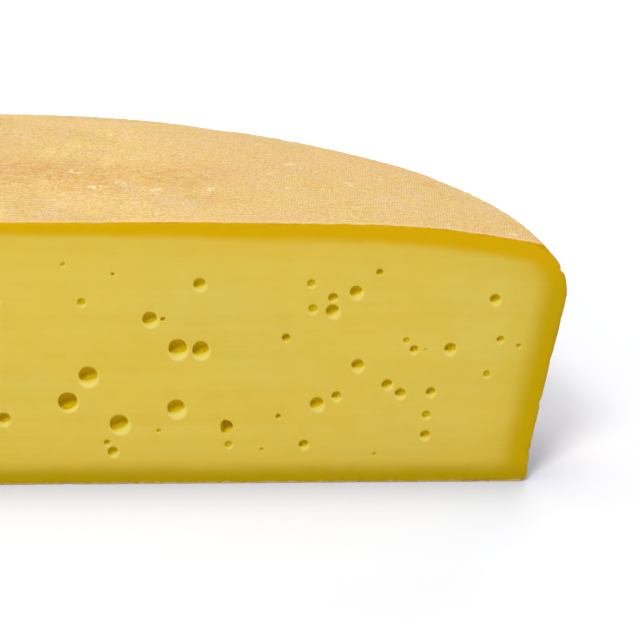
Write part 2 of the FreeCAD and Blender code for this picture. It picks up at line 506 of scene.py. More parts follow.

# %% [markdown]
# ## The eyes
#
# An eye is a ball of gas that the knife opened. Its upper lip is crisp. Below, the blade dragged
# soft paste up to and partly over the mouth, so a ramp runs into the hole and ends in a brow. The
# ramp is pale with a painted highlight, where the light from above falls on it.
# Cutting balls out with a Boolean would leave every lip sharp and the mesh untidy, so each eye is
# drawn ring by ring. Six kinds serve: a shallow dish, a bowl, the same with another eye close
# below it, a deep one, a small round pit, and one that tore when it was cut.

# %% Say what sets the kinds of eye apart
# how far behind the cut the middle of the ball lies, in half widths; a dish is a shallow cap
SINK = {"dish": -0.30, "close": 0.12, "bowl": 0.12, "deep": 0.25, "pit": 0.45, "torn": 0.80}
# how far below the middle the brow crosses the mouth; 1 and more leaves the mouth round
BROW = {"dish": 0.50, "close": 0.50, "bowl": 0.42, "deep": 0.58, "pit": 0.95, "torn": 1.60}
# how much further than the mouth the ramp reaches; a close one has another eye right below it
REACH = {"dish": 0.60, "close": 0.14, "bowl": 0.68, "deep": 0.68, "pit": 0.40, "torn": 0.05}
# how much painted shade darkens the wall lower down, and how far below the middle that begins
PAINTED_WALL_SHADE = {"dish": (0.55, -1.2), "close": (0.7, 0.0), "bowl": (0.7, 0.0), "deep": (0.7, 0.0),
        "pit": (0.5, 0.0), "torn": (0.0, 0.0)}
print(len(SINK), "kinds of eye")

# %% [markdown]
# Eyes lie in loose groups, the widest nearest the middle of the wheel, where the paste stayed warm
# longest. Places are per cent of the way out to the rim and of the way up, so they follow the
# frame, and widths are in millimetres.

# %% List the eyes on the right
RIGHT_EYES = [
    # the widest ones and their neighbours: across, up, width, kind
    (26.0, 64.0, 4.2, "deep"),
    (31.0, 53.0, 5.3, "deep"),
    (35.0, 52.5, 4.8, "deep"),
    (15.5, 42.5, 5.3, "deep"),
    (12.0, 32.5, 5.5, "pit"),
    (21.0, 24.0, 5.3, "deep"),
    (31.0, 30.0, 5.1, "bowl"),
    (34.5, 77.0, 3.6, "bowl"),
    (1.0, 26.0, 3.6, "deep"),
    (20.0, 13.0, 3.1, "bowl"),
    (19.0, 16.5, 2.0, "bowl"),
    # a group under the top, halfway out
    (58.0, 72.2, 3.0, "close"),
    (58.0, 67.3, 3.9, "bowl"),
    (54.5, 68.0, 2.8, "dish"),
    (62.0, 74.5, 3.7, "bowl"),
    (66.0, 82.0, 2.0, "pit"),
    (54.0, 77.5, 2.5, "dish"),
    # a slanting row towards the foot
    (63.0, 46.5, 3.7, "bowl"),
    (68.5, 39.0, 3.2, "bowl"),
    (71.0, 35.5, 3.2, "bowl"),
    (76.5, 36.0, 2.9, "bowl"),
    (76.0, 27.0, 2.6, "dish"),
    (76.0, 19.0, 2.9, "bowl"),
    (56.0, 31.5, 4.0, "bowl"),
    (59.5, 34.5, 2.9, "bowl"),
    (54.0, 15.5, 2.9, "bowl"),
    # small ones near the rind
    (73.0, 52.5, 2.6, "bowl"),
    (79.5, 53.0, 3.5, "bowl"),
    (87.0, 72.0, 3.2, "bowl"),
    (88.5, 56.5, 2.3, "bowl"),
    (86.5, 43.0, 2.3, "dish"),
    (71.5, 56.0, 2.0, "dish"),
    # single ones between the groups
    (50.0, 57.0, 2.5, "pit"),
    (40.0, 22.6, 3.9, "torn"),
    (40.5, 15.5, 2.3, "dish"),
    (14.2, 70.0, 2.5, "dish"),
]
print(len(RIGHT_EYES), "eyes right of the axis")

# %% [markdown]
# The left half has the same kind of groups. A plain mirrored copy would be noticed, so the pattern
# is turned half round and each eye is shaken. Pinpricks come on top: they are too small to be
# worth a solid of their own, but a cut without any looks clean as plastic.

# %% Grow the eyes on the left and add the pinpricks
LEFT_SEED = 141
LEFT_TURN = 94.0                # per cent of the height that an eye and its turned copy add up to
LEFT_SHIFT = (0.90, 1.02)       # least and most stretch of a place away from the axis
LEFT_SHAKE = 4.0                # most that a place moves up or down, per cent of the height
LEFT_WIDTH = (0.80, 1.15)       # least and most change of a width
PINPRICKS = [
    (19.5, 80.5, 1.1, "pit"), (28.3, 63.8, 1.4, "pit"), (49.2, 26.6, 1.6, "pit"),
    (11.0, 84.0, 1.4, "dish"), (28.0, 21.0, 1.4, "dish"), (46.5, 13.5, 1.2, "dish"),
    (75.0, 52.5, 0.9, "dish"), (92.0, 54.0, 1.6, "dish"), (67.0, 11.5, 1.2, "dish"),
    (-17.0, 24.0, 1.3, "pit"), (-36.0, 83.0, 1.1, "dish"), (-52.5, 45.0, 1.6, "pit"),
    (-63.0, 13.0, 1.2, "dish"), (-80.0, 27.0, 1.4, "dish"), (-7.5, 50.5, 1.1, "dish"),
]


def grow_left_eyes():
    """Eyes left of the axis: the right-hand pattern turned half round, each eye shaken."""
    chance = random.Random(LEFT_SEED)
    grown = []
    for across, up, width, kind in RIGHT_EYES:
        left_across = -across * chance.uniform(*LEFT_SHIFT)
        left_up = LEFT_TURN - up + chance.uniform(-LEFT_SHAKE, LEFT_SHAKE)
        left_width = width * chance.uniform(*LEFT_WIDTH)
        grown.append((left_across, left_up, left_width, kind))
    return grown


eyes = RIGHT_EYES + grow_left_eyes() + PINPRICKS
print(len(eyes), "eyes")

# %% [markdown]
# ## One spoke of an eye
#
# Think of spokes that run from the lip to the deepest point. Upwards a spoke drops over a small
# bevel straight into the ball. Downwards it first slides along the ramp to the brow. Everything is
# a share of half the mouth's width, so one description serves every size. Each step also says how
# much painted highlight lies there, pale like smeared fat, and whether it is wall: 1 for the skin
# of the wall, and up to 2 lower down, where painted shade darkens that skin.

# %% Walk down one spoke
RIM_BEVEL = 0.035               # how far the lip is worn round
RAMP_SLOPE = 0.34
RAMP_STEPS = 6
RAMP_CURVE = 1.6                # over 1, so the ramp starts flat and gets steeper
RAMP_GATHERS = 2.5              # the higher, the narrower the ramp's tail below the eye
BROW_CORNER = 5.0               # the higher, the straighter the brow
SKIN_FROM = 0.2                 # share of the ramp after which it turns into wall
WALL_SHADE_OVER = 0.8                 # way down over which the painted shade on the wall grows
BALL_RINGS = 9
FROM_BROW = (0.0, 0.5, 0.2, 0.06)       # how much of the way back to the brow the ball's rings are


def wall_value(kind, lower):
    """What the wall is marked with: 1 for its skin, and up to 2 where painted shade darkens it."""
    most, begins = PAINTED_WALL_SHADE[kind]
    return 1.0 + most * min(max((lower - begins) / WALL_SHADE_OVER, 0.0), 1.0)


def eye_spoke(angle, tilt, kind):
    """Points (out, depth, highlight, hollow) from lip to bottom in one direction, in half widths.
    """
    down = -math.sin(angle - tilt)
    below = (1.0 + down) / 2
    reach = 1.0 + RIM_BEVEL + REACH[kind] * below ** RAMP_GATHERS
    mouth = (1.0 + (max(down, 0.0) / BROW[kind]) ** BROW_CORNER) ** (-1.0 / BROW_CORNER)
    brow = RIM_BEVEL * (1.0 - below) + RAMP_SLOPE * (reach - RIM_BEVEL - mouth)
    spoke = []
    for step in range(RAMP_STEPS + 1):
        t = step / RAMP_STEPS
        # painted highlight on the lower side of the eye, where the light from above falls
        pale = max(down, 0.0) ** 0.5 * math.sin(math.pi * t ** 0.8) ** 2
        wall = max(0.0, (t - SKIN_FROM) / (1.0 - SKIN_FROM)) ** 1.5
        inner = wall_value(kind, mouth * down) * wall
        spoke.append((reach + (mouth - reach) * t, brow * t ** RAMP_CURVE, pale, inner))
    size = math.hypot(1.0, SINK[kind])
    first = -math.asin(SINK[kind] / size)
    for ring in range(1, BALL_RINGS):
        turn = first + (math.pi / 2 - first) * ring / BALL_RINGS
        back = FROM_BROW[ring] if ring < len(FROM_BROW) else 0.0
        out = size * math.cos(turn) + back * (mouth - 1.0)
        depth = SINK[kind] + size * math.sin(turn) + back * brow
        spoke.append((out, depth, 0.0, wall_value(kind, out * down)))
    return spoke


print("a spoke has", len(eye_spoke(0.0, 0.0, "bowl")), "steps")

# %% [markdown]
# Real bubbles aren't perfectly round, so each eye is drawn a little oval and wobbly, and the
# direction of the smear is tilted by the slant of the blade. The torn one is ragged, and a shelf
# of paste stays standing in its left part.

# %% Give an eye its own shape
LIP_FIT = 0.97                  # the worn lip makes up the rest of the width
WIDE = 5.3                      # width of a wide eye in millimetres, and how many spokes it gets
SPOKES_OF_WIDE = 34
FEWEST_SPOKES = 14
SMEAR_TILT = math.radians(16.0)
TILT_SHAKE = 0.25               # most that the tilt of one eye differs, in radians
OVAL = 0.035                    # most that an eye is longer one way, and the same for the torn one
RAGGED = 0.06
TORN_SHELF = 0.45               # depth of the shelf, a share of the full depth
SHELF_ENDS = -0.35              # where it ends, and over what way it drops, in half widths
SHELF_STEP = 0.10


def eye_lines(width, kind, luck):
    """The spokes of one eye in metres: sideways, depth, up, painted highlight and hollow of every
    step.
    """
    half = LIP_FIT * width / 2 * MM
    spokes = max(FEWEST_SPOKES, round(SPOKES_OF_WIDE * width / WIDE))
    ragged = RAGGED if kind == "torn" else 0.0
    oval = luck.uniform(0.0, OVAL) + ragged
    oval_turn = luck.uniform(0.0, math.pi) if kind != "torn" else math.pi / 2
    wobble_turn = luck.uniform(0.0, math.tau)
    tilt = SMEAR_TILT + luck.uniform(-TILT_SHAKE, TILT_SHAKE)
    lines = []
    for s in range(spokes):
        angle = math.tau * s / spokes
        stretch = 1.0 + oval * math.cos(2 * (angle - oval_turn))
        stretch += 0.4 * oval * math.sin(3 * angle + wobble_turn)
        stretch += ragged * (math.sin(3 * angle + 1.0) + 0.6 * math.sin(7 * angle + 2.0))
        line = []
        for out, depth, pale, inner in eye_spoke(angle, tilt, kind):
            side = out * half * stretch * math.cos(angle)
            depth *= half
            if kind == "torn":
                depth *= min(max((side / half - SHELF_ENDS) / SHELF_STEP, TORN_SHELF), 1.0)
            line.append((side, depth, out * half * stretch * math.sin(angle), pale, inner))
        lines.append(line)
    return lines


print("a wide eye has", len(eye_lines(WIDE, "deep", random.Random(0))), "spokes")

# %% [markdown]
# Steps of the same number on all spokes make a loop. Four-sided faces join each loop to the next,
# and a fan of triangles closes the bottom. The first loop is kept: it is the opening that the flat
# of the cut has to leave free.

# %% Draw the eyes
LEAST_HIGHLIGHT = 0.35                # how strong the painted highlight of a tiny eye is, a share
HIGHLIGHT_WIDTH = 8.0                 # millimetres of width that add a full share
paste_faces = []
smeared = {}
hollow = {}


def draw_eye(eye, luck):
    """Adds the points and faces of one eye and gives the numbers round its opening."""
    across, up, width, kind = eye
    middle = Vector((across / 100 * wheel_radius, cut_y, up / 100 * wheel_height))
    highlight_share = min(1.0, LEAST_HIGHLIGHT + width / HIGHLIGHT_WIDTH)
    loops = []
    for level in zip(*eye_lines(width, kind, luck)):
        loop = []
        for side, depth, rise, pale, inner in level:
            loop.append(add_point(middle + Vector((side, depth, rise))))
            smeared[loop[-1]] = pale * highlight_share
            hollow[loop[-1]] = inner
        loops.append(loop)
    spokes = len(loops[0])
    for outer, inner in zip(loops, loops[1:]):
        for s in range(spokes):
            n = (s + 1) % spokes
            paste_faces.append((outer[s], outer[n], inner[n], inner[s]))
    bottom = sum(points[n].y for n in loops[-1]) / spokes
    deepest = add_point(Vector((middle.x, bottom, middle.z)))
    hollow[deepest] = wall_value(kind, 0.0)
    for s in range(spokes):
        paste_faces.append((loops[-1][s], loops[-1][(s + 1) % spokes], deepest))
    return loops[0]


luck = random.Random(8)
openings = [draw_eye(eye, luck) for eye in eyes]
print(len(points), "points with the eyes,", len(paste_faces), "faces in them")

# %% [markdown]
# ## The cut face
#
# The flat paste fills the room between the border and the openings of the eyes. Filling one huge
# face with holes would give long slivers that shade badly. Even triangles need an even scatter of
# points first, in rows like the cells of a honeycomb, shaken a little and kept clear of the border
# and the eyes.

# %% Scatter points over the flat
PASTE_STEP = 1.5 * MM
PASTE_SHAKE = 0.18              # this and the two below are shares of the step
BORDER_ROOM = 0.55
EYE_ROOM = 0.45


def search_tree(numbers):
    """A tree that finds the nearest of some of the cheese's points."""
    tree = kdtree.KDTree(len(numbers))
    for n in numbers:
        tree.insert(points[n], n)
    tree.balance()
    return tree


def paste_scatter():
    """An even, slightly shaken scatter of places inside the border and clear of the eyes."""
    near_border = search_tree(border)
    near_eye = search_tree([n for loop in openings for n in loop])
    shake = random.Random(4)
    places = []
    row_step = PASTE_STEP * math.sqrt(3) / 2
    rows = int(wheel_height / row_step)
    columns = int(2 * wheel_radius / PASTE_STEP) + 1
    for row in range(1, rows + 1):
        for column in range(columns + 1):
            x = -wheel_radius + (column + 0.5 * (row % 2)) * PASTE_STEP
            z = row * row_step
            place = Vector((x + shake.uniform(-PASTE_SHAKE, PASTE_SHAKE) * PASTE_STEP, cut_y,
                            z + shake.uniform(-PASTE_SHAKE, PASTE_SHAKE) * PASTE_STEP))
            if near_border.find(place)[2] < BORDER_ROOM * PASTE_STEP:
                continue
            if near_eye.find(place)[2] < EYE_ROOM * PASTE_STEP:
                continue
            places.append(place)
    return places


scatter = paste_scatter()
print(len(scatter), "points scattered over the flat")

# %% [markdown]
# A Delaunay mesh joins the scattered points by triangles that are as close to equal as can be, and
# honours the border and the openings. Only the triangles inside the border and outside every eye
# are kept, and where they meet the rind or an eye they use its points, so nothing gapes.

# %% Fill the cut between border and eyes
def fill_cut():
    """Triangulates the cut face and adds its faces."""
    kept = border + [n for loop in openings for n in loop]
    flat = [Vector((points[n].x, points[n].z)) for n in kept]
    loops = [list(range(len(border)))]
    begin = len(border)
    for loop in openings:
        loops.append(list(range(begin, begin + len(loop))))
        begin += len(loop)
    flat += [Vector((p.x, p.z)) for p in scatter]
    spots, _, faces, from_spots, _, from_loops = delaunay_2d_cdt(flat, [], loops, 1, 1e-8, True)
    faces = [face for face, owners in zip(faces, from_loops) if set(owners) == {0}]
    numbers = {}
    for k in sorted({k for face in faces for k in face}):
        source = min(from_spots[k], default=len(kept))
        if source < len(kept):
            numbers[k] = kept[source]
        else:
            numbers[k] = add_point(Vector((spots[k].x, cut_y, spots[k].y)))
    paste_faces.extend(tuple(numbers[k] for k in face) for face in faces)
    return len(faces)


print(fill_cut(), "faces in the flat of the cut")

# %% [markdown]
# ## The mark of the knife
#
# A long blade drawn through a springy paste leaves it almost flat: broad, very low swells along
# the stroke. They are moved points, so they also show in the bare mesh, and only light that skims
# the cut brings them out.

# %% Draw the knife's swells into the cut
SWELL = 0.07 * MM
STROKE = (90.0 * MM, 6.0 * MM)  # length and height of a swell


def knife_swell(place):
    """How far the blade wandered at a place, long in the stroke and short across it."""
    stroke = Vector((place.x / STROKE[0], 0.0, place.z / STROKE[1]))
    return SWELL * noise.noise(stroke) + 0.4 * SWELL * noise.noise(stroke * 3.1)


paste_points = sorted({n for face in paste_faces for n in face})
for n in paste_points:
    points[n].y += knife_swell(points[n])
print(len(paste_points), "points of paste moved")

# %% [markdown]
# ## One mesh for the whole cheese
#
# Paste and rind are one body in a real cheese, so they share one mesh and all points along the
# edge. Two objects would show a seam, and would each be open at the back. The two finishes are
# given by face: material 0 for the rind and 1 for the paste. Smooth shading hides the facets.

# %% Make the cheese from its points and faces
cheese_mesh = bpy.data.meshes.new("cheese")
cheese_mesh.from_pydata(points, [], rind_faces + paste_faces)
cheese_mesh.polygons.foreach_set("use_smooth", [True] * len(cheese_mesh.polygons))
slots = [0] * len(rind_faces) + [1] * len(paste_faces)
cheese_mesh.polygons.foreach_set("material_index", slots)
cheese_mesh.update()
problems = cheese_mesh.validate(verbose=False)
cheese = bpy.data.objects.new("cheese", cheese_mesh)
bpy.context.scene.collection.objects.link(cheese)
triangles = sum(len(p.vertices) - 2 for p in cheese_mesh.polygons)
print("cheese:", len(cheese_mesh.vertices), "points,", triangles, "triangles, repaired:", problems)

# %% [markdown]
# ## How near the rind is
#
# Under the rind the paste dries: golden below the top, more olive behind the side, dull at the
# foot. A shader can't measure how far it is to the outline, so three lengths are worked out for
# each point of the paste: down from the top, in from the side and up from the base. Samples along
# the outline, kept in rising order, answer that by a quick search.

# %% Measure the depth of a place under the rind
SAMPLE_GAP = 0.5 * MM
samples = [outline_point(k * SAMPLE_GAP)[0] for k in range(int(base_begins / SAMPLE_GAP) + 1)]
widest = max(range(len(samples)), key=lambda k: samples[k][0])
top_reaches = [reach for reach, _ in samples[:widest + 1]]
side_drops = [-level for _, level in samples]


def depths_under_rind(place):
    """How far a place lies under the top, behind the side and above the base."""
    reach = abs(place.x)
    over = min(bisect.bisect_left(top_reaches, reach), widest)
    beside = min(bisect.bisect_left(side_drops, -place.z), len(samples) - 1)
    return samples[over][1] - place.z, samples[beside][0] - reach, place.z


halfway = Vector((wheel_radius / 2, cut_y, wheel_height / 2))
print("depths halfway, in mm:", [round(depth / MM) for depth in depths_under_rind(halfway)])

# %% [markdown]
# The lengths are written into the mesh as an attribute, which a material can read at any point.
# Two more say where the lower lip of an eye gets its painted highlight, and where the wall of an
# eye is: the value runs on from 1 to 2 where painted shade darkens that wall.

# %% Write depths, painted highlights and walls into the mesh
depths = [0.0] * (3 * len(points))
lip_highlights = [0.0] * len(points)
hollows = [0.0] * len(points)
for n in paste_points:
    depths[3 * n:3 * n + 3] = depths_under_rind(points[n])
    lip_highlights[n] = smeared.get(n, 0.0)
    hollows[n] = hollow.get(n, 0.0)
cheese_mesh.attributes.new("under_rind", "FLOAT_VECTOR", "POINT").data.foreach_set("vector", depths)
cheese_mesh.attributes.new("smeared", "FLOAT", "POINT").data.foreach_set("value", lip_highlights)
cheese_mesh.attributes.new("hollow", "FLOAT", "POINT").data.foreach_set("value", hollows)
print("depths written for", len(paste_points), "points of paste")

# %% [markdown]
# ## Colours for a shader
#
# A maker picks colours as they look on a screen, while a shader counts light. The curve between
# the two is the usual one for screens, so a colour can be written as three numbers up to 255.

# %% Turn a screen colour into light
def paint(red, green, blue):
    """A colour as seen on a screen, 0 to 255 each, turned into the linear values of a shader."""
    linear = []
    for part in (red, green, blue):
        part /= 255
        linear.append(part / 12.92 if part <= 0.04045 else ((part + 0.055) / 1.055) ** 2.4)
    return (*linear, 1.0)


print("middle grey as light:", round(paint(128, 128, 128)[0], 3))

# %% [markdown]
# ## Mixing materials
#
# Paste and rind are both built from layers of noise. They could be wired by hand in the shader
# editor, but a long recipe is easier to follow as lines of text. A few short helpers keep it
# readable: each adds one node to a material and hands on its output.

# %% Helpers for material recipes
class Recipe:
    """A material and short ways to add nodes to it."""

    def __init__(self, name):
        self.material = bpy.data.materials.new(name)
        self.material.use_nodes = True
        self.tree = self.material.node_tree
        self.tree.nodes.clear()
        self.surface = self.add("ShaderNodeBsdfPrincipled")
        self.output = self.add("ShaderNodeOutputMaterial")
        self.tree.links.new(self.surface.outputs["BSDF"], self.output.inputs["Surface"])
        self.place = self.add("ShaderNodeTexCoord").outputs["Object"]

    def add(self, kind, **settings):
        """A new node with some of its settings."""
        node = self.tree.nodes.new(kind)
        for name, value in settings.items():
            setattr(node, name, value)
        return node

    def feed(self, socket, value):
        """Links another node's output to a socket, or sets the socket to a plain value."""
        if isinstance(value, bpy.types.NodeSocket):
            self.tree.links.new(value, socket)
        else:
            socket.default_value = value

    def read(self, attribute):
        """The node that reads an attribute of the mesh."""
        return self.add("ShaderNodeAttribute", attribute_name=attribute).outputs

    def math(self, operation, first, second=0.0, clamp=False):
        """One sum with one or two values."""
        node = self.add("ShaderNodeMath", operation=operation, use_clamp=clamp)
        self.feed(node.inputs[0], first)
        self.feed(node.inputs[1], second)
        return node.outputs[0]

    def stretch(self, scale, turn=0.0):
        """The place, scaled and turned about Z; a scale under 1 makes lumps longer that way."""
        node = self.add("ShaderNodeMapping")
        self.feed(node.inputs["Vector"], self.place)
        node.inputs["Scale"].default_value = scale
        node.inputs["Rotation"].default_value = (0.0, 0.0, turn)
        return node.outputs[0]

    def noise(self, breadth, detail=2.0, rough=0.5, stretch=(1.0, 1.0, 1.0)):
        """Noise from 0 to 1 whose lumps are about breadth wide."""
        node = self.add("ShaderNodeTexNoise")
        self.feed(node.inputs["Vector"], self.stretch(stretch))
        node.inputs["Scale"].default_value = 1.0 / breadth
        node.inputs["Detail"].default_value = detail
        node.inputs["Roughness"].default_value = rough
        return node.outputs["Fac"]

    def between(self, value, low, high, out_low=0.0, out_high=1.0):
        """Spreads value from low..high to out_low..out_high, and keeps it in there."""
        node = self.add("ShaderNodeMapRange", interpolation_type="SMOOTHSTEP")
        for name, given in zip(("Value", "From Min", "From Max", "To Min", "To Max"),
                               (value, low, high, out_low, out_high)):
            self.feed(node.inputs[name], given)
        return node.outputs["Result"]

    def blend(self, share, first, second):
        """Mixes two colours by a share."""
        node = self.add("ShaderNodeMix", data_type="RGBA", blend_type="MIX")
        # this node keeps its colour sockets after those for numbers and vectors
        self.feed(node.inputs[0], share)
        self.feed(node.inputs[6], first)
        self.feed(node.inputs[7], second)
        return node.outputs[2]

    def split(self, vector):
        """The three values of a vector."""
        node = self.add("ShaderNodeSeparateXYZ")
        self.feed(node.inputs[0], vector)
        return node.outputs

    def raise_surface(self, height, depth, under=None):
        """Bumps the surface by a height of 0 to 1 times depth, on top of another bump."""
        node = self.add("ShaderNodeBump")
        node.inputs["Distance"].default_value = depth
        self.feed(node.inputs["Height"], height)
        if under is not None:
            self.feed(node.inputs["Normal"], under)
        return node.outputs["Normal"]


print("a recipe can", ", ".join(name for name in vars(Recipe) if not name.startswith("_")))

# %% [markdown]
# ## The paste
#
# The paste is a smooth, faintly waxy yellow. Its colour drifts a little, in long bands that follow
# the knife. Towards the rind it turns golden, and dull olive at the foot, where the cheese sat on
# its board. Each of these three zones has a core of even colour and a long soft end.

# %% Colour the paste from the middle to the rind
PASTE_WARM = paint(233, 207, 92)
PASTE_GREEN = paint(230, 208, 97)
GOLD_TOP = paint(224, 178, 0)
GOLD_SIDE = paint(205, 170, 0)
GOLD_FOOT = paint(195, 164, 0)
TOP_ZONE = (3.1 * MM, 2.6 * MM, 9.0 * MM, 0.28)         # core, soft end, long tail and its share
SIDE_ZONE = (3.3 * MM, 7.5 * MM, 16.0 * MM, 0.30)
FOOT_ZONE = (1.9 * MM, 6.6 * MM, 14.0 * MM, 0.22)


def middle_of_paste(r, cloud):
    """The even yellow of the middle, a little more golden in bands and clouds."""
    drift = r.noise(38 * MM, detail=1.0, stretch=(0.6, 1.0, 1.0))
    bands = r.noise(4 * MM, detail=2.0, stretch=(0.04, 1.0, 1.0))
    colour = r.blend(r.between(drift, 0.40, 0.60), PASTE_GREEN, PASTE_WARM)
    colour = r.blend(r.between(bands, 0.3, 0.7, 0.0, 0.17), colour, GOLD_TOP)
    return r.blend(r.between(cloud, 0.35, 0.65, 0.0, 0.09), colour, GOLD_TOP)


def zone(r, depth, core, soft, tail, tail_share):
    """How golden the paste is at a depth: full in the core, falling fast, then a long tail."""
    fast = r.between(depth, core, core + soft, 1.0 - tail_share, 0.0)
    slow = r.between(depth, core, core + tail, tail_share, 0.0)
    return r.math("ADD", fast, slow)


def golden_zones(r, colour, cloud):
    """The golden zones under the top, behind the side and at the foot."""
    across, _, height = r.split(r.place)
    shift = r.math("MULTIPLY", r.math("SUBTRACT", cloud, 0.5), 1.6 * MM)
    depths = r.split(r.read("under_rind")["Vector"])
    from_top, from_side, from_base = (r.math("ADD", depth, shift) for depth in depths)
    further_out = r.math("ABSOLUTE", across)
    slimmer = r.between(further_out, 0.1 * wheel_radius, 0.9 * wheel_radius, 1.0, 0.76)
    from_top = r.math("MULTIPLY", from_top, slimmer)
    colour = r.blend(zone(r, from_top, *TOP_ZONE), colour, GOLD_TOP)
    high_up = r.between(height, 0.70 * wheel_height, 0.92 * wheel_height)
    side_gold = r.blend(high_up, GOLD_SIDE, GOLD_TOP)
    colour = r.blend(zone(r, from_side, *SIDE_ZONE), colour, side_gold)
    higher = r.between(from_base, 3.5 * MM, 9.0 * MM)
    foot_gold = r.blend(higher, GOLD_FOOT, GOLD_TOP)
    return r.blend(zone(r, from_base, *FOOT_ZONE), colour, foot_gold)


print("gold under the top as light:", [round(part, 2) for part in GOLD_TOP[:3]])

# %% [markdown]
# Right under the rind a broken brown line runs along the cut, and pale crumbs stick to its lower
# edge. The wall of an eye is covered by a clear yellow skin, kept light to stand in for light that
# bounces inside the eye, and darker lower down, which is painted shade. The lower lip gets a pale
# painted highlight, the colour of smeared fat.

# %% Colour the edges of the cut and the eyes
RIM_BROWN = paint(196, 138, 8)
CRUMB = paint(232, 205, 150)
# clear yellow skin of an eye's wall, kept light as painted bounce light for the shaded inside
EYE_SKIN_AND_BOUNCE = paint(238, 208, 0)
# painted shade on the lower part of an eye's wall
EYE_PAINTED_SHADE = paint(199, 172, 0)
# painted highlight on the lower lip and ramp of an eye, pale like smeared fat
PAINTED_LIP_HIGHLIGHT = paint(246, 230, 140)


def edges_of_cut(r, colour):
    """The brown line under the rind and the crumbs on the lower edge."""
    depths = r.split(r.read("under_rind")["Vector"])
    to_rind = r.math("MINIMUM", depths[0], depths[1])
    spots = r.noise(1.5 * MM, detail=2.0)
    rim = r.math("MULTIPLY", r.between(to_rind, 0.1 * MM, 1.1 * MM, 1.0, 0.0),
                 r.between(spots, 0.42, 0.66, 0.0, 0.6))
    colour = r.blend(rim, colour, RIM_BROWN)
    height = r.split(r.place)[2]
    crumbs = r.math("ADD", height, r.math("MULTIPLY", spots, -1.3 * MM))
    return r.blend(r.between(crumbs, -0.3 * MM, 0.1 * MM, 0.75, 0.0), colour, CRUMB)


def eye_colours(r, colour):
    """The walls' skin with painted bounce light and painted shade, and the painted highlight."""
    inside = r.read("hollow")["Fac"]
    colour = r.blend(r.math("MULTIPLY", r.math("MINIMUM", inside, 1.0), 0.9), colour, EYE_SKIN_AND_BOUNCE)
    colour = r.blend(r.math("SUBTRACT", inside, 1.0, clamp=True), colour, EYE_PAINTED_SHADE)
    highlight_share = r.read("smeared")["Fac"]
    return r.blend(r.math("MULTIPLY", highlight_share, 0.85), colour, PAINTED_LIP_HIGHLIGHT)


print("skin of an eye as light:", [round(part, 2) for part in EYE_SKIN_AND_BOUNCE[:3]])

# %% [markdown]
# The finish is what makes it cheese. Light sinks a millimetre or two into the paste, red furthest,
# which keeps the lips of the eyes soft. Its shine is weak and yellowish, broken by fine strokes
# along the cut.

# %% Mix the paste
def waxy_surface(r):
    """A soft, faint shine, fine strokes of the knife, and light that sinks in."""
    grain = r.noise(0.9 * MM, detail=3.0, rough=0.6)
    strokes = r.noise(1.4 * MM, detail=3.0, stretch=(0.03, 1.0, 1.0))
    normal = r.raise_surface(strokes, 0.10 * MM)
    normal = r.raise_surface(grain, 0.03 * MM, under=normal)
    r.feed(r.surface.inputs["Normal"], normal)
    r.feed(r.surface.inputs["Roughness"], r.between(grain, 0.3, 0.7, 0.40, 0.52))
    r.surface.inputs["Specular IOR Level"].default_value = 0.28
    r.surface.inputs["Specular Tint"].default_value = (1.0, 0.80, 0.10, 1.0)
    r.surface.inputs["Subsurface Weight"].default_value = 0.35
    r.surface.inputs["Subsurface Radius"].default_value = (1.0, 0.7, 0.12)
    r.surface.inputs["Subsurface Scale"].default_value = 1.6 * MM


def mix_paste():
    """The material of the cut and of the eyes."""
    r = Recipe("paste")
    cloud = r.noise(7 * MM, detail=2.0)
    colour = golden_zones(r, middle_of_paste(r, cloud), cloud)
    colour = eye_colours(r, edges_of_cut(r, colour))
    r.feed(r.surface.inputs["Base Color"], colour)
    waxy_surface(r)
    return r.material


paste = mix_paste()
print("paste:", len(paste.node_tree.nodes), "nodes")

# %% [markdown]
# ## The rind
#
# The rind is dry and tan. Washing leaves orange smears on top, drying leaves a pale bloom, and
# where the rind faces sideways rather than up it is browner. A painted texture would need a layout
# of its own over the whole wheel; layers of noise follow the form by themselves. They are made once
# and shared.

# %% Colour the top and the side of the rind
TAN = paint(240, 204, 130)
TAN_YELLOW = paint(241, 207, 122)
TAN_PINK = paint(244, 202, 135)
SMEAR = paint(230, 166, 78)
BLOOM = paint(245, 224, 184)
SIDE_TAN = paint(220, 178, 108)
SIDE_BROWN = paint(196, 144, 80)
SMEAR_BEHIND_CUT = 46 * MM
SMEAR_ENDS = (46 * MM, 80 * MM)


def rind_layers(r):
    """The noises of the rind by name, from fine grit to broad patches."""
    return {
        "grit": r.noise(0.50 * MM, detail=1.5, stretch=(0.55, 0.40, 1.0)),
        "fine": r.noise(1.1 * MM, detail=3.0, rough=0.6, stretch=(1.0, 0.6, 1.0)),
        "flecks": r.noise(1.5 * MM, detail=2.0, stretch=(0.45, 0.8, 1.0)),
        "streaks": r.noise(2.6 * MM, detail=5.0, rough=0.75, stretch=(0.5, 0.6, 1.0)),
        "mottle": r.noise(6 * MM, detail=3.0, rough=0.6),
        "scuffs": r.noise(8 * MM, detail=3.0, rough=0.6),
        "dust": r.noise(17 * MM, detail=5.0, rough=0.65),
        "patches": r.noise(21 * MM, detail=3.0, rough=0.5),
        "wander": r.noise(55 * MM, detail=1.0),
    }


